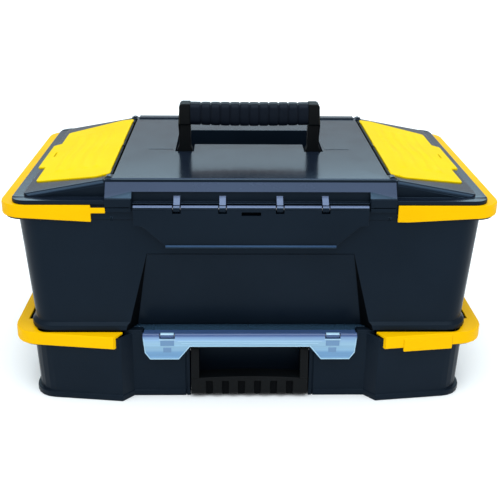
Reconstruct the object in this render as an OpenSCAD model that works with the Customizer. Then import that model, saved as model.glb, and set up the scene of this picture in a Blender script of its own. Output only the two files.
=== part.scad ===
// Two-stage tool box: a deep tool box clicked onto a parts organizer.
// Millimetres, +Z up, +X to the right, the front faces -Y. The origin is the
// middle of the footprint, on the floor.

/* [Overall] */
// Width over the rim guards
case_w = 505; // [503:0.5:508]
// Depth over the click latches
case_d = 326; // [325:0.5:328]
// Height of the lid's flat top above the floor
lid_top = 243; // [242:0.5:246]
// Height at which the tool box stands on the organizer
stack_z = 79; // [78.5:0.25:79.5]

/* [Shells] */
// Wall of the two tubs and of the lid
wall = 3; // [2.6:0.1:3.2]
// Corner radius of the tool box in plan
box_r = 24; // [20:1:26]
// Fall of the lid's end slopes
slope_angle = 10.4; // [10:0.1:10.8]

/* [Handle] */
// Outer width of the carry handle
handle_w = 154; // [150:1:156]
// Height of the raised handle above the lid's flat top
handle_rise = 53; // [50:1:56]

/* [Hidden] */

black = [0.11, 0.14, 0.18];
soft_black = [0.06, 0.07, 0.08];
yellow = [1.0, 0.83, 0.03];
clear_blue = [0.62, 0.76, 0.86, 0.5];
steel = [0.7, 0.72, 0.74];

eps = 0.01;
run = 0.05;             // radial clearance of a pin in its bore
arc_n = 5;              // steps in each rounded corner of an outline

// ---- derived places, tool box ----
half_w = case_w / 2;
half_d = case_d / 2;
rim_z = lid_top - 23.5;         // top face of the rim guards
tub_z1 = rim_z - 0.5;           // top edge of the tool box tub
flange_z0 = rim_z + 0.3;        // underside of the lid's flange
flange_z1 = rim_z + 4.5;        // top of the lid's flange
lid_hw = half_w - 12.5;         // lid flange, half width
lid_hd = half_d - 12.5;         // lid flange, half depth
end_hw = half_w - 23.5;         // raised end of the lid, half width
end_hd = half_d - 24.5;         // raised end of the lid, half depth
flat_hd = half_d - 27;          // flat top of the lid, half depth
guard_hd = half_d - 11;         // rim guard, half depth
guard_t = 2.8;                  // rim guard skirt
tub_top = [half_w - 14.8, half_d - 14.4];    // half sizes of the tub at its rim
tub_low = [half_w - 24.3, half_d - 16.8];    // half sizes above the base flange
tub_foot = [half_w - 20.5, half_d - 13];     // half sizes of the base flange
hinge_y = half_d - 7;           // lid hinge axis
hinge_z = rim_z + 0.4;
knuckle_r = 5;
latch_y = -(half_d - 10);       // front latch barrel axis
latch_z = rim_z - 2.9;
barrel_r = 3.6;
latch_hw = 117.5;               // front latch, half width
arm_xs = [-74.3, -28.6, 28.6, 74.3];
arm_w = 6.8;
recess_x = [-latch_hw - 1.5, latch_hw + 1.5];      // the latch's recess in the lid
slope_x = 143;                  // where the end slopes start
slope_z = lid_top - 0.6;
cover_drop = 1.8;               // cover hinge axis below the slope
cover_len = 81;                 // cover along the slope
cover_half = 119;               // cover half length at its hinge
cover_wide = 123;               // at its widest
cover_out = 102;                // and at its outer edge
cover_up = 1.4;                 // how far the cover stands proud
cover_t = 2.6;
trough_x = [slope_x - 4, slope_x + 4.5];           // trough along a cover's hinge
well_floor = rim_z - 20;        // floor of the parts wells

// ---- derived places, carry handle ----
pivot_y = -24;
pivot_z = lid_top - 11;
leg_w = 12.3;
leg_t = 15;
handle_z1 = lid_top + handle_rise;
grip_h = 24;
grip_t = 20;
grip_hw = handle_w / 2 - leg_w;
core_h = 13;
core_t = 11;
slot_x = [handle_w / 2 - 15.5, handle_w / 2 + 5];  // leg slots in the lid
recess_y = [-2, 65];                               // handle recess, front and back
recess_z = lid_top - 23;

// ---- derived places, organizer ----
rim_low = stack_z - 4;          // top edge of the organizer tub
lid_low_z = [stack_z - 3.5, stack_z - 0.5];
wing_hw = half_w - 2.5;         // click latch, half width
wing_z = [stack_z - 14.5, stack_z - 0.5];
wing_t = 2.8;
wing_x = 142;                   // inner end of the front arms
wing_slope = 0.139;             // how the front sweeps back towards the ends
org_low = [half_w - 23.9, half_d - 4.8];
org_top = [half_w - 21, half_d - 4.2];
org_foot = [half_w - 20, half_d - 3.5];
org_step = [124.5, 136];        // inner and outer ends of the front step
org_recess = 12.5;              // how deep the middle of the front is set back
org_sweep = 12.4;
org_hinge_y = half_d - 12;
org_hinge_z = stack_z - 4.5;
org_knuckle_r = 4.4;
bar_y = -(half_d - 7.8);        // organizer latch barrel axis
bar_z = stack_z - 1.8;
bar_r = 2.8;
clip_x = 87;                    // latch clips and lugs
grab_hw = 64;                   // organizer handle bay, half width
grab_pivot = [-(half_d - 21), 54.5];
grab_z = [3, 25.5];             // the bar that the fingers hold
hinge_xs = [-90, 90];           // both rear hinges

// ---- plan outlines ----
function unit(v) = v / norm(v);
// The rounded corner at b between a and c, as arc_n + 1 points.
function fillet(a, b, c, r) =
    let (u = unit(a - b), v = unit(c - b), half = acos(u * v) / 2,
         p = b + u * r / tan(half), q = b + v * r / tan(half),
         m = b + unit(u + v) * r / sin(half),
         a0 = atan2(p[1] - m[1], p[0] - m[0]), a1 = atan2(q[1] - m[1], q[0] - m[0]),
         turn = a1 - a0 > 180 ? a1 - a0 - 360 : a1 - a0 < -180 ? a1 - a0 + 360 : a1 - a0)
    [for (i = [0:arc_n]) m + r * [cos(a0 + turn * i / arc_n), sin(a0 + turn * i / arc_n)]];
function rounded(pts, radii) =
    let (n = len(pts))
    [for (i = [0:n - 1]) each fillet(pts[(i + n - 1) % n], pts[i], pts[(i + 1) % n], radii[i])];
function box_outline(hw, hd, r) =
    rounded([[-hw, -hd], [hw, -hd], [hw, hd], [-hw, hd]], [r, r, r, r]);
// The organizer's plan is a middle and two ends. An end is swept back towards
// its corners and stands forward of the middle; its step starts inside the middle.
function end_outline(hw, hd, r, s) =
    let (k = org_recess / (s[1] - s[0]), inner = [s[0] - 5, 5 * k + org_recess - hd], c = [hw, org_sweep - hd])
    concat([inner, [s[1], -hd]], fillet([s[1], -hd], c, [hw, -c[1]], r),
           fillet(c, [hw, -c[1]], [s[1], hd], r), [[s[1], hd], [inner[0], -inner[1]]]);
function middle_outline(hd, s) =
    let (x = s[0] + 2, y = hd - org_recess) [[-x, -y], [x, -y], [x, y], [-x, y]];

// A solid skinned between outlines of equal length; each level is [z, points].
module loft(levels) {
    n = len(levels[0][1]);
    m = len(levels);
    points = [for (l = levels) each [for (p = l[1]) [p[0], p[1], l[0]]]];
    sides = [for (k = [0:m - 2]) each [for (i = [0:n - 1])
        each [[k * n + i, (k + 1) * n + i, (k + 1) * n + (i + 1) % n],
              [k * n + i, (k + 1) * n + (i + 1) % n, k * n + (i + 1) % n]]]];
    caps = [[for (i = [0:n - 1]) i], [for (i = [n - 1:-1:0]) (m - 1) * n + i]];
    polyhedron(points, concat(sides, caps), 10);
}
module slab(outline, z0, z1) {
    translate([0, 0, z0]) linear_extrude(z1 - z0) polygon(outline);
}
module block(x, y, z) {
    translate([x[0], y[0], z[0]]) cube([x[1] - x[0], y[1] - y[0], z[1] - z[0]]);
}
module rod_x(x, y, z, r) {
    translate([x[0], y, z]) rotate([0, 90, 0]) cylinder(h = x[1] - x[0], r = r, $fn = 32);
}
module rod_y(y, x, z, r) {
    translate([x, y[1], z]) rotate([90, 0, 0]) cylinder(h = y[1] - y[0], r = r, $fn = 32);
}
// A profile of [y, z] points pushed along X.
module bar_x(x, profile) {
    translate([x[0], 0, 0]) rotate([90, 0, 90]) linear_extrude(x[1] - x[0]) polygon(profile);
}
// A profile of [x, z] points pushed along Y.
module bar_y_axis(y, profile) {
    translate([0, y[1], 0]) rotate([90, 0, 0]) linear_extrude(y[1] - y[0]) polygon(profile);
}
module both_ways() {
    children();
    mirror([1, 0, 0]) children();
}

// ---- organizer ----
// The tub's shape grown by g; g is negative for its inside.
module organizer_bulk(z0, z1, g) {
    s = org_step - [0.43, 0.43] * g;
    r = 24 + min(g, 0);
    loft([[z0, middle_outline(org_low[1] + g, s)], [z1, middle_outline(org_top[1] + g, s)]]);
    both_ways() loft([
        [z0, end_outline(org_low[0] + g, org_low[1] + g, r, s)],
        [z1, end_outline(org_top[0] + g, org_top[1] + g, r, s)]
    ]);
}
module organizer_shell() {
    slab(middle_outline(org_foot[1], org_step), 0, 6.5);
    both_ways() slab(end_outline(org_foot[0], org_foot[1], 25, org_step), 0, 6.5);
    organizer_bulk(wall, rim_low, 0);
}
// Plan of a click latch, or of the shelf below it, grown by g; the left end.
function wing_outline(g) =
    let (x1 = -wing_hw - g, y0 = -half_d - g + (wing_hw - wing_x) * wing_slope,
         y1 = -half_d - g)
    rounded([[x1, y0], [-wing_x, y1], [-wing_x + 20, y1], [-wing_x + 20, -y1], [-wing_x, -y1], [x1, -y0]],
            [28 + g, 2, 1, 1, 2, 28 + g]);
module shelf() {
    difference() {
        intersection() {
            slab(wing_outline(-wing_t - 0.5), rim_low - 13, rim_low - 0.6);
            block([-half_w, -org_step[1] - 2], [-half_d, half_d], [0, stack_z]);
        }
        organizer_bulk(wall, rim_low + 1, -wall / 2);
        block([-half_w + 18.5, -half_w + 22.5], [-115, 115], [0, stack_z]);
    }
}
module organizer_knuckles(shift, w) {
    for (x = hinge_xs, k = shift) {
        xs = [x + k - w / 2, x + k + w / 2];
        rod_x(xs, org_hinge_y, org_hinge_z, org_knuckle_r);
        block(xs, [org_hinge_y - 8, org_hinge_y - 1], [org_hinge_z - 4.4, org_hinge_z - 0.4]);
    }
}
module organizer_tub() {
    color(black) difference() {
        union() {
            difference() {
                organizer_shell();
                organizer_bulk(wall + 0.5, rim_low + 1, -wall);
            }
            // walls of the bay behind the handle
            block([-grab_hw - wall, grab_hw + wall], [-half_d + 18.3, -half_d + 41 + wall], [1, 66 + wall]);
            // rim beside the front latch
            both_faces() both_ways()
                block([113.5, 133], [-half_d + 17.5, -half_d + 25.5], [rim_low - 8, lid_low_z[1]]);
            both_ways() shelf();
            organizer_knuckles([-15, 15], 14);
        }
        block([-grab_hw, grab_hw], [-half_d, -half_d + 41], [-1, 66]);
        // joint lines beside the handle bay
        both_ways() block([67.5, 68.9], [-half_d, -half_d + 17.7], [-1, rim_low - 9]);
        for (s = [-1, 1]) rod_x([s * 68 - 12, s * 68 + 12], grab_pivot[0], grab_pivot[1], 2 + run);
        for (x = hinge_xs) rod_x([x - 30, x + 30], org_hinge_y, org_hinge_z, 2 + run);
    }
}
// Lugs on the tub's front that hold the organizer latch.
module organizer_latch_lugs() {
    y = [-half_d + 10.5, -half_d + 18];
    color(black) difference() {
        both_ways() {
            block([clip_x - 7, clip_x + 7], y, [67, rim_low - 2]);
            block([clip_x - 4, clip_x + 4], y, [59, 64]);
        }
        organizer_bulk(wall, rim_low, 0);
    }
}
divider_y = [-48, 47];
divider_z = [wall + 0.8, rim_low - 6];
module long_dividers() {
    color(black) for (y = divider_y)
        block([-half_w + 43, half_w - 43], [y - 0.9, y + 0.9], divider_z);
}
module cross_dividers() {
    rows = [[-half_d + 48, divider_y[0] - 1.3], [divider_y[0] + 1.3, divider_y[1] - 1.3], [divider_y[1] + 1.3, half_d - 22]];
    color(black) for (i = [0:2], x = i == 1 ? [-140, -70, 0, 70, 140] : [-105, 0, 105])
        block([x - 0.9, x + 0.9], rows[i], divider_z);
}
module organizer_hinge_pins() {
    color(steel) for (x = hinge_xs) rod_x([x - 22, x + 22], org_hinge_y, org_hinge_z, 2);
}
module organizer_handle_pins() {
    color(steel) for (s = [-1, 1])
        rod_x([s * 62.5 - 7.5, s * 62.5 + 7.5], grab_pivot[0], grab_pivot[1], 2);
}
foot_pads = [[150, 96], [150, -96], [-150, 96], [-150, -96]];
module organizer_lid() {
    plate = [lid_low_z[0], lid_low_z[1]];
    color(clear_blue) difference() {
        union() {
            difference() {
                union() {
                    slab(box_outline(half_w - 29, half_d - 26, 16), plate[0], plate[1]);
                    block([-112, 112], [-half_d + 11.5, half_d - 17.5], plate);
                    // rib that drops inside the tub
                    difference() {
                        slab(box_outline(half_w - 42, half_d - 45, 12), plate[0] - 3.5, plate[0]);
                        slab(box_outline(half_w - 44, half_d - 47, 10), plate[0] - 4, plate[0] + eps);
                    }
                }
                // shallow trays in the top, which drain and stiffen the lid
                for (x = [-1, 1], y = [-1, 1])
                    slab([for (p = box_outline(72, 44, 8)) [p[0] + x * 105, p[1] + y * 62]], plate[1] - 0.8, plate[1] + 1);
                for (p = foot_pads) block([p[0] - 31, p[0] + 31], [p[1] - 13, p[1] + 13], [plate[1] - 1.8, plate[1] + 1]);
            }
            for (s = [-1, 1]) {
                rod_x([s * clip_x - 7, s * clip_x + 7], bar_y, bar_z, bar_r);
                block([s * clip_x - 7, s * clip_x + 7], [bar_y, -half_d + 12], [bar_z - 0.4, bar_z + 1.3]);
            }
            for (x = hinge_xs) {
                rod_x([x - 7.5, x + 7.5], org_hinge_y, org_hinge_z, org_knuckle_r);
                block([x - 7.5, x + 7.5], [half_d - 18.5, org_hinge_y], [plate[0], org_hinge_z + org_knuckle_r]);
            }
        }
        for (x = hinge_xs) rod_x([x - 30, x + 30], org_hinge_y, org_hinge_z, 2 + run);
        for (s = [-1, 1]) rod_x([s * clip_x - 20, s * clip_x + 20], bar_y, bar_z, 1.2 + run);
        for (x = hinge_xs, k = [-15, 15])
            block([x + k - 7.5, x + k + 7.5], [half_d - 20, half_d], [0, stack_z]);
    }
}
module organizer_latch_pins() {
    color(steel) for (s = [-1, 1]) rod_x([s * clip_x - 16, s * clip_x + 16], bar_y, bar_z, 1.2);
}
module organizer_latch() {
    z1 = bar_z;
    half_shape = [[0, 65], [63, 65], [75, 50], [105.5, 50], [111, 58], [112.5, z1], [0, z1]];
    shape = concat(half_shape, [for (i = [5:-1:1]) [-half_shape[i][0], half_shape[i][1]]]);
    color(clear_blue) difference() {
        union() {
            bar_y_axis([bar_y - bar_r, bar_y - bar_r + 2.4], shape);
            rod_x([-112.5, 112.5], bar_y, bar_z, bar_r);
        }
        for (s = [-1, 1]) {
            block([s * clip_x - 8, s * clip_x + 8], [-half_d, -half_d + 14], [bar_z - 3.2, stack_z + 5]);
            rod_x([s * clip_x - 22, s * clip_x + 22], bar_y, bar_z, 1.2 + run);
        }
    }
}
module organizer_handle() {
    y0 = -half_d + 10.5;
    post_y = grab_pivot[0] - 7;
    // the bar's top edge is an arch
    arch = [for (i = [-6:6]) [i * 10.5, grab_z[1] + 0.8 - 2.6 * pow(i / 6, 2)]];
    color(soft_black) difference() {
        union() {
            both_ways() {
                bar_x([54, 62.8], [[y0, grab_z[0] + 3], [y0, 22], [post_y, grab_pivot[1]],
                                   [grab_pivot[0] + 6, grab_pivot[1]], [y0 + 13, 22], [y0 + 13, grab_z[0] + 3]]);
                rod_x([54, 62.8], grab_pivot[0], grab_pivot[1], 7);
            }
            intersection() {
                bar_x([-62.8, 62.8], [[y0, 6], [y0 + 3, grab_z[0]], [y0 + 16, grab_z[0]], [y0 + 18, 6],
                                      [y0 + 18, 40], [y0, 40]]);
                bar_y_axis([-half_d, -100], concat([[-63, 0]], arch, [[63, 0]]));
            }
        }
        for (i = [-2.5:1:2.5])
            block([i * 17.3 - 3.6, i * 17.3 + 3.6], [-half_d, y0 + 3], [-1, grab_z[1] - 5]);
        for (s = [-1, 1]) rod_x([s * 60 - 12, s * 60 + 12], grab_pivot[0], grab_pivot[1], 2 + run);
    }
}
// One moulding serves both ends: the right one is the left one turned round.
module click_latch() {
    z0 = wing_z[0];
    z1 = wing_z[1];
    color(yellow) difference() {
        union() {
            difference() {
                slab(wing_outline(0), z0, z1);
                slab(wing_outline(-wing_t), z0 - 1, z1 - 3);
                // inside edge of the top plate
                slab(box_outline(half_w - 27, half_d - 13.5, 12), z0 - 1, z1 + 1);
            }
            // thumb pad on the back arm, which is the front one at the right end
            intersection() {
                slab(wing_outline(1.2), z0 - 4, z1 - 3);
                block([-215, -162], [half_d - 16, half_d + 2], [z0 - 4, z1 - 3]);
                difference() {
                    slab(wing_outline(1.2), z0 - 4, z1);
                    slab(wing_outline(-wing_t), z0 - 5, z1 + 1);
                }
            }
        }
        // arms end on the slant of the tub's step
        for (s = [-1, 1]) linear_extrude(stack_z + 1)
            polygon([[-wing_x, s * (half_d + 1)], [-wing_x + 9.5, s * (half_d - 16)],
                     [0, s * (half_d - 40)], [0, s * (half_d + 1)]]);
        block([-org_step[1] + 3, 0], [-half_d, half_d], [0, stack_z]);
        block([-half_w + 14, -half_w + 30], [-117, 117], [0, stack_z]);
    }
}
module left_click_latch() { click_latch(); }
module right_click_latch() { rotate(180) click_latch(); }

// ---- tool box ----
// The tub's tapered wall between two heights, grown by g.
function tub_half(z, g) = tub_low + [g, g] + (tub_top - tub_low) * (z - stack_z - 9.5) / (tub_z1 - stack_z - 9.5);
module tub_bulk(z0, z1, g) {
    loft([for (z = [z0, z1]) [z, box_outline(tub_half(z, g)[0], tub_half(z, g)[1], box_r - 2 + min(g, 0))]]);
}
// The middle of the front falls back towards the base; g thickens the cutter.
module front_fall(g) {
    z0 = stack_z - 2;
    z1 = stack_z + 87 + g;
    yf = -half_d + 3;
    function side(s, g) = [
        [s * (137 + g), yf, z0], [s * (120 + g), -half_d + 31 + g, z0],
        [s * (106 + g), -half_d + 15.5 + g, z1], [s * (111 + g), yf, z1]
    ];
    polyhedron(concat(side(-1, g), side(1, g)), [
        [0, 1, 2], [0, 2, 3], [4, 6, 5], [4, 7, 6], [1, 5, 6], [1, 6, 2],
        [0, 4, 5], [0, 5, 1], [3, 2, 6], [3, 6, 7], [0, 3, 7], [0, 7, 4]
    ]);
}
module both_faces() {
    children();
    mirror([0, 1, 0]) children();
}
module toolbox_tub() {
    z0 = stack_z;
    foot = tub_foot;
    color(black) difference() {
        union() {
            difference() {
                union() {
                    loft([
                        [z0, box_outline(foot[0] - 1.5, foot[1] - 1.5, box_r - 2)],
                        [z0 + 1.5, box_outline(foot[0], foot[1], box_r)],
                        [z0 + 7, box_outline(foot[0], foot[1], box_r)],
                        [z0 + 9.5, box_outline(tub_low[0], tub_low[1], box_r - 2)],
                        [tub_z1, box_outline(tub_top[0], tub_top[1], box_r - 2)]
                    ]);
                }
                both_faces() front_fall(0);
            }
            // shelf that the rim guards clip over
            slab(box_outline(half_w - guard_t - 0.4, guard_hd - guard_t - 0.2, box_r - 3), rim_z - 16, rim_z - 3);
            // feet that stand in the organizer lid's pockets
            for (p = foot_pads) block([p[0] - 30, p[0] + 30], [p[1] - 12, p[1] + 12], [z0 - 1.5, z0 + 2]);
            // rear hinge knuckles
            for (x = hinge_xs, k = [-15, 15]) {
                rod_x([x + k - 7, x + k + 7], hinge_y, hinge_z, knuckle_r);
                block([x + k - 7, x + k + 7], [half_d - 16, hinge_y], [hinge_z - 9, hinge_z - 2]);
            }
        }
        difference() {
            tub_bulk(z0 + 4, tub_z1 + 1, -wall);
            both_faces() front_fall(wall);
            // ledges for the tote tray
            both_ways() block([half_w - 37, half_w], [-100, 26], [tub_z1 - 34, tub_z1 - 30]);
        }
        for (x = hinge_xs) rod_x([x - 30, x + 30], hinge_y, hinge_z, 2 + run);
        // a slit beside each end of the front latch
        both_ways() block([139, 140.6], [-half_d + 10, -half_d + 15.2], [rim_z - 17, rim_z - 13]);
    }
}
// The rib that the front latch snaps under, and the ledges beside the latch.
module front_catch() {
    ledge_y = -guard_hd + guard_t + 0.2;
    color(black) {
        both_ways() block([119.5, 145], [-half_d + 10.8, ledge_y], [rim_z - 7, rim_z - 3]);
        difference() {
            bar_x([-60, 60], [[-half_d + 17, 183], [-half_d + 9.6, 184.5], [-half_d + 9.6, 186], [-half_d + 17, 190]]);
            tub_bulk(stack_z + 9.5, tub_z1, 0);
        }
    }
}
// One moulding serves both ends: the right one is the left one turned round.
module rim_guard() {
    z0 = rim_z - 17.5;
    inner = tub_half(tub_z1, 0.6);
    color(yellow) difference() {
        union() {
            difference() {
                slab(box_outline(half_w, guard_hd, box_r), z0, rim_z);
                slab(box_outline(half_w - guard_t, guard_hd - guard_t, box_r - guard_t), z0 - 1, rim_z - 2.7);
                slab(box_outline(inner[0], inner[1], box_r - 2), z0 - 1, rim_z + 1);
                block([-160, half_w + 1], [-half_d, 0], [z0 - 1, rim_z + 1]);
                block([-147.5, half_w + 1], [-1, half_d], [z0 - 1, rim_z + 1]);
            }
            block([-161, -145.5], [-guard_hd, -guard_hd + guard_t], [rim_z - 8.4, rim_z - 2.9]);
        }
        // the skirt gets shallower towards the corners
        both_faces() bar_y_axis([-half_d, 0], [[-half_w - 1, z0 - 1], [-half_w - 1, z0 + 4.6], [-225, z0 + 3.8], [-160, z0], [-160, z0 - 1]]);
    }
}
module left_rim_guard() { rim_guard(); }
module right_rim_guard() { rotate(180) rim_guard(); }
module lid_hinge_pins() {
    color(steel) for (x = hinge_xs) rod_x([x - 22, x + 22], hinge_y, hinge_z, 2);
}
tray_z = [tub_z1 - 67, tub_z1 - 26];
tray_mid = -40;
tray_half = [half_w - 41, 84];
module tote_tray() {
    grab_z1 = rim_z - 5;
    color(black) difference() {
        union() {
            difference() {
                slab([for (p = box_outline(tray_half[0], tray_half[1], 12)) [p[0], p[1] + tray_mid]], tray_z[0], tray_z[1]);
                slab([for (p = box_outline(tray_half[0] - 2.5, tray_half[1] - 2.5, 9.5)) [p[0], p[1] + tray_mid]],
                     tray_z[0] + 2.5, tray_z[1] + 1);
            }
            // lugs that rest on the tub's ledges
            both_ways() block([tray_half[0] - 1, half_w - 28], [tray_mid - 40, tray_mid + 40], [tray_z[1] - 3, tray_z[1]]);
            // spine with the hand hole
            block([-tray_half[0] + 1, tray_half[0] - 1], [tray_mid - 1.5, tray_mid + 1.5], [tray_z[0] + 1, tray_z[1] - 6]);
            block([-70, 70], [tray_mid - 4, tray_mid + 4], [tray_z[0] + 1, grab_z1]);
        }
        block([-52, 52], [tray_mid - 10, tray_mid + 10], [grab_z1 - 38, grab_z1 - 13]);
        both_ways() bar_y_axis([tray_mid - 10, tray_mid + 10], [[62, grab_z1 + 1], [71, grab_z1 + 1], [71, grab_z1 - 10]]);
    }
}

// ---- lid ----
// Children are drawn on the right-hand slope: X runs down it, Z stands on it.
module on_slope() {
    translate([slope_x, 0, slope_z]) rotate([0, slope_angle, 0]) children();
}
axis_x = slope_x - cover_drop * sin(slope_angle);
axis_z = slope_z - cover_drop * cos(slope_angle);
function slope_at(x) = slope_z - (x - slope_x) * tan(slope_angle);
module lid_skin(g) {
    // middle, with bevelled front and back
    bar_x([-146 + g, 146 - g], [[-lid_hd + 1 + g, lid_top - 17 - g], [-flat_hd + g * 0.5, lid_top - g],
        [flat_hd - g * 0.5, lid_top - g], [lid_hd - 1 - g, lid_top - 17 - g],
        [lid_hd - 1 - g, flange_z0 - g], [-lid_hd + 1 + g, flange_z0 - g]]);
    // ends, which slope down
    intersection() {
        slab(box_outline(end_hw - g, end_hd - g, 8), flange_z0 - g, lid_top);
        bar_y_axis([-end_hd, end_hd], [[-end_hw, flange_z0 - g], [-end_hw, slope_at(end_hw) - g],
            [-slope_x, slope_z - g], [slope_x, slope_z - g], [end_hw, slope_at(end_hw) - g], [end_hw, flange_z0 - g]]);
    }
}
module well_block(g, z0) {
    x = [slope_x + 4 - g, 217 + g];
    plan = rounded([[x[0], -112 - g], [x[1], -93 - g], [x[1], 93 + g], [x[0], 112 + g]], [4, 4, 4, 4]);
    both_ways() intersection() {
        slab(plan, z0, lid_top);
        bar_y_axis([-130, 130], [[slope_x - 1, z0 - 1], [slope_x - 1, slope_z], [slope_x, slope_z],
                                 [end_hw, slope_at(end_hw)], [end_hw, z0 - 1]]);
    }
}
// Rounds over the long front and back edges of the slopes.
module slope_round(r) {
    both_ways() both_faces() on_slope() difference() {
        block([4.4, 100], [-end_hd - 1, -end_hd + r], [-r, 2]);
        rod_x([4, 101], -end_hd + r, -r, r);
    }
}
module handle_recess(g) {
    block([-slot_x[1] - g, slot_x[1] + g], [recess_y[0] - g, recess_y[1] + g], [recess_z - g, lid_top + 1 - g]);
    both_ways() block([slot_x[0] - g, slot_x[1] + g], [pivot_y - 9 - g, recess_y[0] + 1], [recess_z - g, lid_top + 1 - g]);
}
function cover_outline() =
    let (h = [[0.6, -cover_half], [15, -cover_wide], [cover_len, -cover_out], [cover_len, -50], [cover_len + 9, -46]],
         all = concat(h, [for (i = [4:-1:0]) [h[i][0], -h[i][1]]]),
         radii = [2, 8, 5, 1, 3])
    rounded(all, concat(radii, [for (i = [4:-1:0]) radii[i]]));
// Arms that reach out of the lid's front recess to hold the latch's barrel.
module latch_arms() {
    for (x = arm_xs) {
        xs = [x - arm_w / 2, x + arm_w / 2];
        bar_x(xs, [[latch_y, flange_z0], [latch_y + 1, latch_z + barrel_r], [-half_d + 21.5, lid_top - 15],
                   [-half_d + 21.5, flange_z0]]);
        rod_x(xs, latch_y, latch_z, barrel_r);
    }
}
module toolbox_lid() {
    color(black) difference() {
        union() {
            difference() {
                union() {
                    slab(box_outline(lid_hw, lid_hd, 15), flange_z0, flange_z1);
                    lid_skin(0);
                }
                lid_skin(wall);
            }
            // walls and floors of the parts wells and of the handle recess
            difference() {
                well_block(wall - 0.5, well_floor - wall);
                slab(box_outline(half_w, half_d, 1), lid_top - 2, lid_top + 3);
            }
            intersection() {
                handle_recess(wall);
                block([-half_w, half_w], [-half_d, half_d], [recess_z - wall, lid_top - eps]);
            }
            // floor of the trough along each cover's hinge
            both_ways() block([trough_x[0] - 2, trough_x[1]], [-125, 125], [slope_z - 8, slope_z - 2.5]);
            // hinge bosses of the parts covers
            both_ways() both_faces() rod_y([126.5, 135], axis_x, axis_z, 4.3);
            // back wall and floor of the front latch's recess, and its arms
            block(recess_x + [-2, 2], [-half_d + 20, -half_d + 22.5], [flange_z0, lid_top - 9.5]);
            block(recess_x + [-2, 2], [-half_d + 15, -half_d + 22], [flange_z0, flange_z0 + 1.2]);
            latch_arms();
            // low ridge along the back
            bar_x([-137, 137], [[125, lid_top - 1], [125, lid_top + 1.6], [137, lid_top + 1.6], [139, lid_top - 1]]);
            // lips that close over the tub's front rim
            both_ways() block([119.5, 146], [-half_d + 11.4, -half_d + 13.7], [rim_z - 2.5, lid_top - 17]);
            // rear hinge knuckles
            for (x = hinge_xs) {
                rod_x([x - 7.5, x + 7.5], hinge_y, hinge_z, knuckle_r);
                block([x - 7.5, x + 7.5], [lid_hd - 4, hinge_y], [flange_z0 + 0.2, flange_z1]);
            }
        }
        // parts wells, and the seats that the covers drop into
        difference() {
            well_block(0, well_floor);
            both_ways() for (y = [-38, 38]) block([slope_x, end_hw], [y - 1, y + 1], [well_floor - 1, slope_at(end_hw) - 3]);
        }
        both_ways() on_slope() translate([0, 0, -cover_t + cover_up - 0.4]) linear_extrude(10)
            polygon([for (p = cover_outline()) [p[0] * (p[0] > 50 ? 1.008 : 1), p[1] * 1.006]]);
        // trough for the cover's hinge barrel
        both_ways() block([trough_x[0], trough_x[1]], [-123, 123], [slope_z - 6, lid_top + 1]);
        slope_round(5);
        handle_recess(0);
        // fine line beside each handle leg
        both_ways() block([slot_x[1] + 3, 112], [pivot_y - 0.6, pivot_y + 0.6], [lid_top - 0.6, lid_top + 1]);
        // recess for the front latch's barrel, between the arms that carry it
        difference() {
            union() {
                block(recess_x, [-half_d, -half_d + 20], [flange_z0 + 1.2, lid_top - 11.5]);
                block(recess_x, [-half_d, -half_d + 14.2], [0, lid_top - 11.5]);
            }
            latch_arms();
        }
        // bores
        rod_x([-latch_hw - 5, latch_hw + 5], latch_y, latch_z, 1.5 + run);
        both_ways() rod_y([-134, 134], axis_x, axis_z, 1.25 + run);
        for (s = [-1, 1]) rod_x([s * (slot_x[0] + slot_x[1]) / 2 - 14, s * (slot_x[0] + slot_x[1]) / 2 + 14], pivot_y, pivot_z, 2 + run);
        for (x = hinge_xs) {
            rod_x([x - 30, x + 30], hinge_y, hinge_z, 2 + run);
            for (k = [-15, 15]) block([x + k - 7.5, x + k + 7.5], [lid_hd - 0.3, half_d], [0, lid_top]);
        }
    }
}
module front_latch_pin() {
    color(steel) rod_x([-latch_hw + 2, latch_hw - 2], latch_y, latch_z, 1.5);
}
module right_cover_pin() {
    color(steel) rod_y([-133.5, 133.5], axis_x, axis_z, 1.25);
}
module left_cover_pin() { mirror([1, 0, 0]) right_cover_pin(); }
module lid_handle_pins() {
    c = (slot_x[0] + slot_x[1]) / 2;
    color(steel) for (s = [-1, 1]) rod_x([s * c - 12.8, s * c + 12.8], pivot_y, pivot_z, 2);
}
module front_latch() {
    z1 = latch_z;
    yf = latch_y - barrel_r - 0.4;
    half_shape = [[0, 178], [86, 178], [109, 199], [latch_hw, 200], [latch_hw, z1], [0, z1]];
    shape = concat(half_shape, [for (i = [4:-1:1]) [-half_shape[i][0], half_shape[i][1]]]);
    color(black) difference() {
        union() {
            bar_y_axis([yf, yf + 3], shape);
            rod_x([-latch_hw, latch_hw], latch_y, latch_z, barrel_r);
            bar_x([-86, 86], [[yf + 3, 177], [yf - 2.6, 177], [yf - 3.2, 177.6], [yf - 3.2, 178.4], [yf - 2.6, 179],
                              [yf + 3, 179.2]]);
        }
        for (x = arm_xs) block([x - arm_w / 2 - 0.8, x + arm_w / 2 + 0.8], [-half_d, -half_d + 15], [z1 - barrel_r - 0.6, z1 + 5]);
        rod_x([-latch_hw - 1, latch_hw + 1], latch_y, latch_z, 1.5 + run);
        block([-9.6, 9.6], [-half_d, -half_d + 15], [z1 - 6.3, z1 - 2.4]);
    }
}
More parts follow.
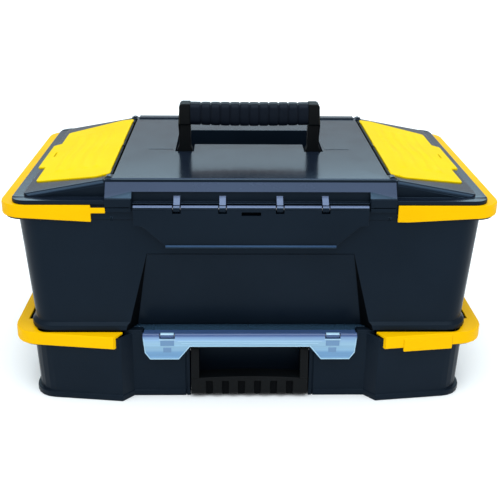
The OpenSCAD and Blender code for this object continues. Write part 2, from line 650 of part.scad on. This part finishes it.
module lid_handle_frame() {
    x1 = handle_w / 2;
    color(black) difference() {
        union() {
            both_ways() {
                bar_y_axis([pivot_y - leg_t / 2, pivot_y + leg_t / 2],
                           [[x1 - leg_w, handle_z1 - 5], [x1 - leg_w, lid_top + 5], [x1 - leg_w - 2, lid_top],
                            [x1 - leg_w - 2, pivot_z], [x1 + 3.2, pivot_z], [x1 + 3.2, lid_top],
                            [x1 + 0.6, lid_top + 6], [x1, handle_z1 - 5]]);
                rod_x([x1 - leg_w - 2, x1 + 3.2], pivot_y, pivot_z, leg_t / 2);
                block([grip_hw, x1 - 4], [pivot_y - grip_t / 2, pivot_y + grip_t / 2], [handle_z1 - grip_h + 1, handle_z1]);
                block([x1 - 5, x1], [pivot_y - grip_t / 2, pivot_y + grip_t / 2], [handle_z1 - grip_h + 1, handle_z1 - 4]);
                rod_y([pivot_y - grip_t / 2, pivot_y + grip_t / 2], x1 - 4, handle_z1 - 4, 4);
            }
            block([-grip_hw - 1, grip_hw + 1], [pivot_y - core_t / 2, pivot_y + core_t / 2],
                  [handle_z1 - (grip_h + core_h) / 2, handle_z1 - (grip_h - core_h) / 2]);
        }
        for (s = [-1, 1]) rod_x([s * (x1 - leg_w / 2) - 10, s * (x1 - leg_w / 2) + 10], pivot_y, pivot_z, 2 + run);
    }
}
module lid_handle_grip() {
    step = 10.64;           // from groove to groove
    cuts = [for (i = [-5:5]) i * step];
    r = 6;
    zc = handle_z1 - grip_h / 2;
    profile = [for (p = box_outline(grip_t / 2, grip_h / 2, r)) [p[0] + pivot_y, p[1] + zc]];
    neck = [for (p = box_outline(grip_t / 2 - 1.1, grip_h / 2 - 1.1, r - 1)) [p[0] + pivot_y, p[1] + zc]];
    color(soft_black) difference() {
        union() {
            bar_x([-grip_hw, grip_hw], neck);
            for (i = [0:9]) bar_x([cuts[i] + 0.45, cuts[i + 1] - 0.45], profile);
            for (s = [-1, 1]) bar_x(s > 0 ? [cuts[10] + 0.45, grip_hw] : [-grip_hw, cuts[0] - 0.45], profile);
        }
        block([-grip_hw - 2, grip_hw + 2], [pivot_y - core_t / 2, pivot_y + core_t / 2],
              [handle_z1 - (grip_h + core_h) / 2, handle_z1 - (grip_h - core_h) / 2]);
    }
}
module right_parts_cover() {
    color(yellow) difference() {
        union() {
            on_slope() translate([0, 0, cover_up - cover_t]) linear_extrude(cover_t) polygon(cover_outline());
            // hinge knuckles, each with a web up to the plate
            for (y = [-cover_half, -7, cover_half - 14]) {
                rod_y([y, y + 14], axis_x, axis_z, 2.3);
                on_slope() block([-0.5, 4], [y + 0.5, y + 13.5], [-cover_drop - 0.8, -0.4]);
            }
        }
        rod_y([-cover_half - 5, cover_half + 5], axis_x, axis_z, 1.25 + run);
        // finger slot in the tab
        on_slope() block([cover_len - 2.4, cover_len - 0.8], [-9, 9], [-5, 5]);
    }
}
module left_parts_cover() { mirror([1, 0, 0]) right_parts_cover(); }

organizer_tub();
organizer_latch_lugs();
long_dividers();
cross_dividers();
organizer_hinge_pins();
organizer_handle_pins();
organizer_lid();
organizer_latch_pins();
organizer_latch();
organizer_handle();
left_click_latch();
right_click_latch();
toolbox_tub();
front_catch();
left_rim_guard();
right_rim_guard();
lid_hinge_pins();
tote_tray();
toolbox_lid();
front_latch_pin();
left_cover_pin();
right_cover_pin();
lid_handle_pins();
front_latch();
lid_handle_frame();
lid_handle_grip();
left_parts_cover();
right_parts_cover();
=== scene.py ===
"""Looks of the stacking tool box: materials, edges, moulded details, light and camera."""

import math

import bmesh
import bpy
from mathutils import Matrix, Vector
from mathutils.bvhtree import BVHTree


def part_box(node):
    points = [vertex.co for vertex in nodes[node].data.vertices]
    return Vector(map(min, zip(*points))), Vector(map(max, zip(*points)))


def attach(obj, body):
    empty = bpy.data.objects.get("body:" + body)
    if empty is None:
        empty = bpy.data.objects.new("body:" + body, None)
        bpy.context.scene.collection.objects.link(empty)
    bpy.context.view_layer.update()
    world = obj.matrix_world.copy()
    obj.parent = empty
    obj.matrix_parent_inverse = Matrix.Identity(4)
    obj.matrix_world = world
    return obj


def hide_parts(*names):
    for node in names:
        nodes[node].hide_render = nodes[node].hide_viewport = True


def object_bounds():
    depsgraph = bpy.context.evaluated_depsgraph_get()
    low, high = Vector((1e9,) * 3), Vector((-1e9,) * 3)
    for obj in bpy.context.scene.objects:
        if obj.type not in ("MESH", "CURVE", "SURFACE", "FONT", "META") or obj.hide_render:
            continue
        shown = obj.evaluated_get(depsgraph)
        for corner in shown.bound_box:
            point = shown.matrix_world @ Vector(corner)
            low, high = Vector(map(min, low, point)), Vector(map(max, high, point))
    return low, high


MM = 0.001

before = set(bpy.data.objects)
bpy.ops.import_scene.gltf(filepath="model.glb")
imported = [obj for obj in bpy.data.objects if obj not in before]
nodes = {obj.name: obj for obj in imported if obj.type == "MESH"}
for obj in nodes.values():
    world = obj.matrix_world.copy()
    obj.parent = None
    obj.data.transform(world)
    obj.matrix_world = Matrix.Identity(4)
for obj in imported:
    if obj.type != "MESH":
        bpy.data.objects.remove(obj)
cad_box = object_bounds()
FRONT = cad_box[0].y / MM       # foremost face of the box, in mm


# ---------------------------------------------------------------- materials
def new_material(name):
    """An empty node material: (material, nodes, links, principled shader)."""
    m = bpy.data.materials.new(name)
    m.use_nodes = True
    t = m.node_tree
    return m, t.nodes, t.links, t.nodes["Principled BSDF"]


def noise(nodes_, links, coord, scale, detail=3.0, rough=0.5):
    n = nodes_.new("ShaderNodeTexNoise")
    n.inputs["Scale"].default_value = scale
    n.inputs["Detail"].default_value = detail
    n.inputs["Roughness"].default_value = rough
    links.new(coord, n.inputs["Vector"])
    return n.outputs["Fac"]


def ramp(nodes_, links, fac, low, high, start=0.3, end=0.7):
    """Colours from low to high as fac goes from start to end."""
    r = nodes_.new("ShaderNodeValToRGB")
    r.color_ramp.elements[0].position, r.color_ramp.elements[1].position = start, end
    r.color_ramp.elements[0].color, r.color_ramp.elements[1].color = low, high
    links.new(fac, r.inputs["Fac"])
    return r.outputs["Color"]


def map_range(nodes_, links, value, source, target):
    """value, taken from the pair source, mapped to the pair target."""
    r = nodes_.new("ShaderNodeMapRange")
    for key, number in zip(("From Min", "From Max", "To Min", "To Max"), (*source, *target)):
        r.inputs[key].default_value = number
    links.new(value, r.inputs["Value"])
    return r.outputs["Result"]


def spread(nodes_, links, fac, low, high):
    """A noise value, which lies mostly in 0.3..0.7, stretched to low..high."""
    return map_range(nodes_, links, fac, (0.3, 0.7), (low, high))


def blotches(nodes_, links, at, low, high):
    """Uneven gloss: a roughness that wanders between low and high over a few centimetres."""
    return spread(nodes_, links, noise(nodes_, links, at, 38, 5, 0.6), low, high)


def plastic(name, dark, light, rough, grain, grain_size=0.0009, tint=(1, 1, 1), level=0.5,
            alpha=1.0, edge_highlight=None):
    """Moulded plastic: slow colour drift from dark to light, uneven gloss, a fine stippled grain of
    that height in metres, and last the lighter colour of a painted highlight along the convex edges."""
    m, n, l, p = new_material(name)
    at = n.new("ShaderNodeTexCoord").outputs["Object"]
    colour = ramp(n, l, noise(n, l, at, 9, 4), (*dark, 1), (*light, 1))
    if edge_highlight:
        # painted highlight: the convex edges, found by pointiness, are lightened towards the given
        # colour
        convex = n.new("ShaderNodeNewGeometry").outputs["Pointiness"]
        mix = n.new("ShaderNodeMix")
        mix.data_type = "RGBA"
        l.new(map_range(n, l, convex, (0.57, 0.66), (0, 1)), mix.inputs["Factor"])
        l.new(colour, mix.inputs["A"])
        mix.inputs["B"].default_value = (*edge_highlight, 1)
        colour = mix.outputs["Result"]
    l.new(colour, p.inputs["Base Color"])
    l.new(blotches(n, l, at, *rough), p.inputs["Roughness"])
    p.inputs["Specular IOR Level"].default_value = level
    p.inputs["Specular Tint"].default_value = (*tint, 1)
    p.inputs["Alpha"].default_value = alpha
    if grain:
        bump = n.new("ShaderNodeBump")
        bump.inputs["Distance"].default_value = grain
        bump.inputs["Strength"].default_value = 0.6
        l.new(noise(n, l, at, 1 / grain_size, 2), bump.inputs["Height"])
        l.new(bump.outputs["Normal"], p.inputs["Normal"])
    return m


BLUE = (0.62, 0.80, 1.0)
DEEP_BLUE = (0.40, 0.68, 1.0)
black = plastic(
    "black_plastic", (0.0035, 0.0070, 0.0125), (0.0050, 0.0095, 0.0165), (0.30, 0.42), 0.00006,
    tint=BLUE, level=0.10, edge_highlight=(0.030, 0.055, 0.085))
lid_black = plastic(
    "lid_black_plastic", (0.0055, 0.0095, 0.0180), (0.0072, 0.0122, 0.0220), (0.15, 0.20), 0.00002,
    tint=DEEP_BLUE, level=0.38, edge_highlight=(0.030, 0.050, 0.075))
soft_black = plastic(
    "grip_plastic", (0.0015, 0.0022, 0.0028), (0.0030, 0.0038, 0.0045), (0.42, 0.54), 0.00008,
    level=0.10, edge_highlight=(0.020, 0.026, 0.032))
rubber = plastic(
    "grip_rubber", (0.0022, 0.0032, 0.0070), (0.0040, 0.0058, 0.0110), (0.40, 0.50), 0.00010, 0.0007,
    tint=BLUE, level=0.15)
# painted shade: near-black for set-back grooves and receding flanks
painted_shade = plastic(
    "painted_shade_plastic", (0.0008, 0.0012, 0.0018), (0.0014, 0.0020, 0.0028), (0.45, 0.60), 0.00006,
    level=0.04)
# painted reflection: a lighter blue for the lid's front bevel, which faces up and forward
bevel_reflection = plastic(
    "bevel_reflection_plastic", (0.017, 0.026, 0.057), (0.022, 0.033, 0.068), (0.22, 0.30), 0.00002,
    tint=BLUE, level=0.30, edge_highlight=(0.060, 0.085, 0.140))
# painted highlight: a light blue for faces that catch the light, on the latch arms and the front latch's
# barrel
painted_highlight = plastic(
    "painted_highlight_plastic", (0.085, 0.115, 0.200), (0.115, 0.150, 0.250), (0.20, 0.30), 0.00002,
    tint=BLUE, level=0.4)
# painted highlight: a blue for the upward faces of the front latch's finger lip
lip_highlight = plastic(
    "lip_highlight_plastic", (0.030, 0.065, 0.135), (0.040, 0.085, 0.165), (0.25, 0.35), 0.00002,
    tint=BLUE, level=0.3)
golden = plastic(
    "yellow_plastic", (0.80, 0.43, 0.0), (0.88, 0.49, 0.0), (0.38, 0.48), 0.00003,
    level=0.03, edge_highlight=(1.0, 0.56, 0.01))
lemon = plastic(
    "cover_yellow", (0.78, 0.545, 0.0005), (0.84, 0.60, 0.001), (0.40, 0.50), 0.00003,
    level=0.02, edge_highlight=(0.92, 0.72, 0.01))
# painted highlight: a light clear blue for beads, clip frames and knuckles that catch the light
clear_highlight = plastic(
    "clear_highlight_plastic", (0.34, 0.55, 0.70), (0.42, 0.64, 0.78), (0.10, 0.18), 0, alpha=0.9)
clear_pad = plastic(
    "clear_pad_plastic", (0.12, 0.24, 0.42), (0.15, 0.28, 0.46), (0.12, 0.20), 0, alpha=0.85)


def banded_clear(name, axis, span, bands, streak, alpha):
    """Transparent plastic whose colour changes in bands along one axis, over that span in metres, with
    fine streaks along X. bands are (place in 0..1, colour), and alpha is (at its start, at its end)."""
    m, n, l, p = new_material(name)
    at = n.new("ShaderNodeTexCoord").outputs["Object"]
    split = n.new("ShaderNodeSeparateXYZ")
    l.new(at, split.inputs["Vector"])
    along = split.outputs[axis]

    colours = n.new("ShaderNodeValToRGB")
    stops = colours.color_ramp.elements
    for k, (spot, colour) in enumerate(bands):
        stop = stops[k] if k < 2 else stops.new(spot)
        stop.position, stop.color = spot, (*colour, 1)
    l.new(map_range(n, l, along, span, (0, 1)), colours.inputs["Fac"])

    stretch = n.new("ShaderNodeMapping")
    stretch.inputs["Scale"].default_value = (4, 60, 420)
    l.new(at, stretch.inputs["Vector"])
    streaks = noise(n, l, stretch.outputs["Vector"], 1, 3, 0.6)
    mix = n.new("ShaderNodeMix")
    mix.data_type, mix.blend_type = "RGBA", "MULTIPLY"
    mix.inputs["Factor"].default_value = 1
    l.new(colours.outputs["Color"], mix.inputs["A"])
    l.new(spread(n, l, streaks, 1 - streak, 1 + streak), mix.inputs["B"])
    l.new(mix.outputs["Result"], p.inputs["Base Color"])

    l.new(blotches(n, l, at, 0.12, 0.20), p.inputs["Roughness"])
    l.new(map_range(n, l, along, span, alpha), p.inputs["Alpha"])
    return m


# the flap: a dark rounded top, a light middle and a slightly darker hem
clear = banded_clear("clear_plastic", "Z", (0.050, 0.080), [
    (0.00, (0.27, 0.48, 0.66)), (0.10, (0.15, 0.31, 0.52)), (0.28, (0.15, 0.32, 0.53)),
    (0.36, (0.23, 0.42, 0.60)), (0.62, (0.28, 0.47, 0.62)), (0.84, (0.20, 0.34, 0.56)),
    (0.92, (0.050, 0.095, 0.24)), (1.00, (0.045, 0.085, 0.20)),
], 0.16, (0.84, 0.95))
# the lid: its front lip is thick and dark blue, the rest is thin
clear_lid = banded_clear("clear_lid_plastic", "Y", (-0.1460, -0.1445), [
    (0.0, (0.040, 0.080, 0.19)), (1.0, (0.045, 0.105, 0.18)),
], 0.10, (0.95, 0.34))


def steel():
    m, n, l, p = new_material("steel_pin")
    at = n.new("ShaderNodeTexCoord").outputs["Object"]
    l.new(spread(n, l, noise(n, l, at, 900, 2), 0.25, 0.45), p.inputs["Roughness"])
    p.inputs["Base Color"].default_value = (0.16, 0.16, 0.17, 1)
    p.inputs["Metallic"].default_value = 1.0
    return m


wire = steel()

FINISH = {
    black: ["organizer_tub", "organizer_latch_lugs", "long_dividers", "cross_dividers",
            "toolbox_tub", "front_catch", "tote_tray", "front_latch"],
    lid_black: ["toolbox_lid"],
    soft_black: ["organizer_handle", "lid_handle_frame", "left_cover_pin", "right_cover_pin"],
    rubber: ["lid_handle_grip"],
    golden: ["left_click_latch", "right_click_latch", "left_rim_guard", "right_rim_guard"],
    lemon: ["left_parts_cover", "right_parts_cover"],
    clear: ["organizer_latch"],
    clear_lid: ["organizer_lid"],
    wire: [n for n in nodes if n.endswith(("_pin", "_pins")) and "cover" not in n],
}
EDGE = {        # rounding of each node's edges, in mm
    "organizer_tub": 0.6, "organizer_latch_lugs": 0.4, "organizer_lid": 0.4, "organizer_latch": 0.4,
    "organizer_handle": 0.8, "long_dividers": 0.25, "cross_dividers": 0.25,
    "left_click_latch": 0.8, "right_click_latch": 0.8, "left_rim_guard": 0.8, "right_rim_guard": 0.8,
    "toolbox_tub": 0.6, "front_catch": 0.4, "tote_tray": 0.5, "toolbox_lid": 0.5, "front_latch": 0.5,
    "left_parts_cover": 0.6, "right_parts_cover": 0.6, "lid_handle_frame": 1.2,
    "lid_handle_grip": 0.4,
}


# -------------------------------------------- edges, finishes, painted highlights and painted shade of the CAD mouldings
def soften(obj, width):
    """Rounds the edges of a CAD node, without touching its vertices."""
    mesh = obj.data
    if "custom_normal" in mesh.attributes:
        mesh.attributes.remove(mesh.attributes["custom_normal"])
    mesh.shade_smooth()
    weld = obj.modifiers.new("weld", "WELD")
    weld.merge_threshold = 0.00001
    bevel = obj.modifiers.new("edges", "BEVEL")
    bevel.width = width
    bevel.segments = 2
    bevel.limit_method = "ANGLE"
    bevel.angle_limit = math.radians(32)
    bevel.use_clamp_overlap = False
    bevel.loop_slide = False
    even = obj.modifiers.new("normals", "WEIGHTED_NORMAL")
    even.keep_sharp = False
    even.weight = 100


def paint(node, material, chosen):
    """Gives the CAD faces that chosen(centre in mm, normal) picks another plastic."""
    mesh = nodes[node].data
    mesh.materials.append(material)
    for face in mesh.polygons:
        if chosen(face.center / MM, face.normal):
            face.material_index = len(mesh.materials) - 1


def paint_cover_knuckle_shade():
    """The covers' hinge knuckles, at the inner edge, are painted black as painted shade of their gap."""
    for name in ("left_parts_cover", "right_parts_cover"):
        inner = min(abs(v.co.x) for v in nodes[name].data.vertices) / MM
        paint(name, soft_black, lambda c, n: abs(c.x) < inner + 3.1)


def finish_lid_and_paint_light():
    """Only the top is glossy: the upright faces are as matt as the tub; the front bevel gets a painted
    reflection and the slanted fronts of the four latch arms a painted highlight, both lighter blues."""
    bevel_z, arm_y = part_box("toolbox_lid")[1].z / MM - 14, FRONT + 22
    paint("toolbox_lid", black, lambda c, n: n.z < 0.3)
    # painted reflection on the front bevel's upward, forward faces
    paint("toolbox_lid", bevel_reflection,
          lambda c, n: n.y < -0.3 and n.z > 0.3 and c.z > bevel_z and abs(c.x) < 144)
    # painted highlight on the slanted, upward fronts of the latch arms
    paint("toolbox_lid", painted_highlight,
          lambda c, n: n.y < -0.4 and n.z > 0.6 and c.y < arm_y and abs(c.x) < 80 and c.z < bevel_z)


def paint_front_latch_highlights():
    """Painted highlights: a light blue stripe along the barrel where it faces up and forward,
    and a blue top on the finger lip.
    """
    low, high = (corner.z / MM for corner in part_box("front_latch"))
    facing = Vector((0, -0.5, 0.87))
    paint("front_latch", painted_highlight, lambda c, n: c.z > high - 14 and n.dot(facing) > 0.90)
    # painted highlight on the upward faces of the finger lip
    paint("front_latch", lip_highlight,
          lambda c, n: low + 1.2 < c.z < low + 2.5 and c.y < FRONT + 17 and n.z > 0.4)


def paint_recess_shade():
    """Painted shade: near-black in the grooves of the organizer's handle, and on the flanks where the
    tub's front falls back.
    """
    groove_y, flank_y = FRONT + 12, FRONT + 28
    paint("organizer_handle", painted_shade,
          lambda c, n: n.y < -0.9 and c.z < 21 and abs(c.x) < 52 and c.y > groove_y)
    paint("toolbox_tub", painted_shade,
          lambda c, n: abs(n.x) > 0.6 and n.y < -0.4 and abs(c.x) < 130 and c.y < flank_y)


for material, names in FINISH.items():
    for name in names:
        nodes[name].data.materials.clear()
        nodes[name].data.materials.append(material)
for name, width in EDGE.items():
    soften(nodes[name], width * MM)
paint_cover_knuckle_shade()
finish_lid_and_paint_light()
paint_front_latch_highlights()
paint_recess_shade()
# the clear lid's clip knuckles catch the light above the flap: their upward faces get a painted
# highlight
paint("organizer_lid", clear_highlight, lambda c, n: c.y < FRONT + 10.5 and n.z > 0.5)


# ------------------------------------------------------------ moulded details
def add_mesh(name, points, faces):
    mesh = bpy.data.meshes.new(name)
    mesh.from_pydata([tuple(p) for p in points], [], faces)
    mesh.validate()
    mesh.shade_smooth()
    o = bpy.data.objects.new(name, mesh)
    bpy.context.scene.collection.objects.link(o)
    return o


def strip_faces(rows, n, closed=False):
    """Quads between rows of n points each; closed joins each row's last point to its first."""
    faces = []
    for i in range(rows - 1):
        for j in range(n if closed else n - 1):
            k = (j + 1) % n
            faces.append((i * n + j, i * n + k, (i + 1) * n + k, (i + 1) * n + j))
    return faces


def top_of(node):
    """A function (x, y) -> height of the node's top surface there, or None beside it."""
    bm = bmesh.new()
    bm.from_mesh(nodes[node].data)
    tree = BVHTree.FromBMesh(bm)
    bm.free()
    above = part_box(node)[1].z + 0.01

    def height(x, y):
        hit = tree.ray_cast(Vector((x, y, above)), Vector((0, 0, -1)))[0]
        return hit and hit.z

    return height


def smooth_step(t):
    t = min(max(t, 0), 1)
    return t * t * (3 - 2 * t)


def cover_waves(node, body, side):
    """The soft waves pressed into a parts cover: four low ridges that wander along its length."""
    top = top_of(node)
    x0, x1 = 156 * MM, 211 * MM             # inner and outer edge of the panel
    rise, pitch, fade = 1.0 * MM, 13.7 * MM, 7 * MM
    wander, wander_len = 2.6 * MM, 150 * MM
    lift = 0.03 * MM                        # keeps the panel clear of the cover's own face
    nx, ny = 54, 90
    points = []
    for i in range(nx + 1):
        x = x0 + (x1 - x0) * i / nx
        narrowing = 1 - 0.12 * i / nx
        row = []
        for j in range(ny + 1):
            y = 90 * MM * (2 * j / ny - 1) * narrowing
            edge = min(x - x0, x1 - x, 90 * MM * narrowing - abs(y))
            shift = wander * math.sin(2 * math.pi * y / wander_len)
            wave = 0.5 - 0.5 * math.cos(2 * math.pi * (x - x0 + shift) / pitch)
            z = top(side * x, y) + rise * wave * smooth_step(edge / fade)
            row.append((side * x, y, z + lift))
        points += row if side > 0 else row[::-1]
    panel = add_mesh(node + "_waves", points, strip_faces(nx + 1, ny + 1))
    panel.data.materials.append(lemon)
    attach(panel, body)


def grip_stations(half, pitch):
    """Places along the grip, from -half to half, closest together at its grooves."""
    stations = []
    for k in range(-6, 7):
        a, b = max((k - 1) * pitch, -half), min(k * pitch, half)
        if b > a:
            stations += [a + (b - a) * t for t in (0, 0.04, 0.08, 0.16, 0.3, 0.5, 0.7, 0.84, 0.92, 0.96)]
    return stations + [half]


def handle_grip():
    """The ribbed grip: crowned segments between narrow grooves, a little fuller under the middle."""
    lo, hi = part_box("lid_handle_grip")
    middle, half = (lo + hi) / 2, (hi - lo) / 2
    pitch, groove, depth, crown = 10.64 * MM, 0.9 * MM, 0.9 * MM, 0.15 * MM
    belly = 1.4 * MM            # how far the underside curves down between its ends
    squareness = 0.55           # power of a superellipse: 1 is round, 0 is square
    last_groove = 5.5 * pitch
    around = 48
    stations = grip_stations(half.x, pitch)
    points = []
    for x in stations:
        near = abs(x - round(x / pitch) * pitch) if abs(x) < last_groove else groove * 9
        sunk = depth * (1 - smooth_step((near - groove * 0.35) / (groove * 0.8)))
        sunk += crown * (1 - min(1, near / (pitch / 2)))
        for i in range(around):
            a = 2 * math.pi * i / around
            c, s = math.cos(a), math.sin(a)
            y = (half.y - sunk) * math.copysign(abs(c) ** squareness, c)
            z = (half.z - sunk) * math.copysign(abs(s) ** squareness, s)
            z -= belly * (1 - (x / half.x) ** 2) * smooth_step(-s * 1.5)
            points.append(middle + Vector((x, y, z)))
    last = (len(stations) - 1) * around
    faces = strip_faces(len(stations), around, closed=True)
    faces += [tuple(range(around))[::-1], tuple(last + j for j in range(around))]
    grip = add_mesh("ribbed_grip", points, faces)
    grip.data.materials.append(rubber)
    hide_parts("lid_handle_grip")
    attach(grip, "lid_handle")


def raised(outline, front, proud, chamfer):
    """Points and faces of a low chamfered pad on an upright face; outline is convex, (x, z) in mm."""
    cx, cz = (sum(p[k] for p in outline) / len(outline) for k in (0, 1))
    n = len(outline)
    points = []
    for inset, y in ((0, front + 0.3), (0, front - proud + chamfer), (chamfer, front - proud)):
        for x, z in outline:
            points.append(((x - inset * math.copysign(1, x - cx)) * MM, y * MM,
                           (z - inset * math.copysign(1, z - cz)) * MM))
    return points, strip_faces(3, n, closed=True) + [tuple(range(2 * n, 3 * n))]


def bead(path, front, half, proud):
    """Points and faces of a rounded bead along a path of (x, z) in mm on an upright face."""
    profile = ((-half, 0.2), (-half * 0.7, -proud * 0.7), (0, -proud),
               (half * 0.7, -proud * 0.7), (half, 0.2))
    points = []
    for i, (x, z) in enumerate(path):
        before, here = Vector(path[max(i - 1, 0)]), Vector((x, z))
        after = Vector(path[min(i + 1, len(path) - 1)])
        a = (here - before).normalized() if i else (after - here).normalized()
        b = (after - here).normalized() if i < len(path) - 1 else a
        side = Vector((-(a + b).y, (a + b).x)).normalized()
        side /= max(0.5, side.dot(Vector((-a.y, a.x))))     # mitre, kept short at sharp corners
        points += [((x + side.x * u) * MM, (front + v) * MM, (z + side.y * u) * MM)
                   for u, v in profile]
    return points, strip_faces(len(path), len(profile))


def flap_relief():
    """The clear flap's rim bead and two ribs, and the frame and two pads of each of its clips; the
    bead, the ribs and the frames are a painted highlight in light clear blue, the pads are darker.
    """
    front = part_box("organizer_latch")[0].y / MM
    half_rim = [(63.6, 65.6), (75.4, 50.7), (105.1, 50.7), (110.3, 58.3), (111.7, 75)]
    rim = [(-x, z) for x, z in half_rim[::-1]] + half_rim
    # material indices: light is the painted highlight of the bead, ribs and frames, dark is the pads
    light, dark = 0, 1          # material indices
    parts = [(bead(rim, front, 0.55, 0.35), light)]
    for z, reach in ((71.6, 76), (68.9, 72)):
        parts.append((bead([(-reach, z), (reach, z)], front, 0.40, 0.22), light))
    for x in (-87, 87):
        # half width, lower and upper edge, and how far it stands proud
        for half, z0, z1, proud, tone in ((8.6, 72.9, 73.9, 0.45, light), (7.2, 66.2, 72.4, 0.20, dark),
                                          (4.2, 58.6, 64.2, 0.20, dark)):
            outline = [(x - half, z0), (x + half, z0), (x + half, z1), (x - half, z1)]
            parts.append((raised(outline, front, proud, 0.15), tone))
    points, faces, tones = [], [], []
    for (part_points, part_faces), tone in parts:
        faces += [tuple(i + len(points) for i in f) for f in part_faces]
        tones += [tone] * len(part_faces)
        points += part_points
    relief = add_mesh("organizer_latch_relief", points, faces)
    relief.data.shade_flat()
    relief.data.materials.append(clear_highlight)
    relief.data.materials.append(clear_pad)
    for face, tone in zip(relief.data.polygons, tones):
        face.material_index = tone
    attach(relief, "organizer_latch_body")


flap_relief()
for side, word in ((-1, "left"), (1, "right")):
    cover_waves(word + "_parts_cover", word + "_cover", side)
handle_grip()


# -------------------------------------------------------------- studio
def studio():
    half, gap = 30, 0.0002      # floor's half width, and its place under the box
    floor = add_mesh("floor", [(-half, -half, 0), (half, -half, 0), (half, half, 0), (-half, half, 0)],
                     [(0, 1, 2, 3)])
    floor.location.z = cad_box[0].z - gap
    material, _, _, shader = new_material("floor")
    shader.inputs["Base Color"].default_value = (0.97, 0.97, 0.96, 1)
    shader.inputs["Roughness"].default_value = 0.8
    floor.data.materials.append(material)

    world = bpy.data.worlds.new("studio")
    bpy.context.scene.world = world
    world.use_nodes = True
    back = world.node_tree.nodes["Background"]
    back.inputs["Color"].default_value = (0.90, 0.95, 1.0, 1)
    back.inputs["Strength"].default_value = 0.55

    # a broad soft lamp above the front, and a panel that the lid's top mirrors from behind
    sun = bpy.data.lights.new("key", "SUN")
    sun.energy, sun.angle, sun.color = 3.1, math.radians(72), (0.90, 0.96, 1.0)
    place(sun, (0, -0.38, 0.92), (0, 0, 0))
    panel = bpy.data.lights.new("panel", "AREA")
    panel.shape, panel.size, panel.size_y = "RECTANGLE", 4.0, 1.5
    panel.energy, panel.color = 35, (0.56, 0.86, 1.0)
    place(panel, (0, 3.0, 1.97), (0, 0, 0.2))


def place(light, spot, aim):
    o = bpy.data.objects.new(light.name, light)
    o.location = spot
    o.rotation_euler = (Vector(aim) - Vector(spot)).to_track_quat("-Z", "Y").to_euler()
    bpy.context.scene.collection.objects.link(o)


def camera():
    """Just left of the middle, above the lid and looking down at it, rolled by half a degree."""
    yaw, pitch, roll = (math.radians(a) for a in (-1.40, -21.6, 0.57))
    data = bpy.data.cameras.new("camera")
    data.sensor_width = 36
    data.lens = 62.8
    data.clip_start = 0.01
    o = bpy.data.objects.new("camera", data)
    o.matrix_world = (
        Matrix.Translation((-21.0 * MM, -974.3 * MM, 498.0 * MM))
        @ Matrix.Rotation(yaw, 4, "Z")
        @ Matrix.Rotation(math.radians(90) + pitch, 4, "X")
        @ Matrix.Rotation(roll, 4, "Z")
    )
    bpy.context.scene.collection.objects.link(o)
    bpy.context.scene.camera = o


studio()
camera()
bpy.context.scene.view_settings.view_transform = "Standard"
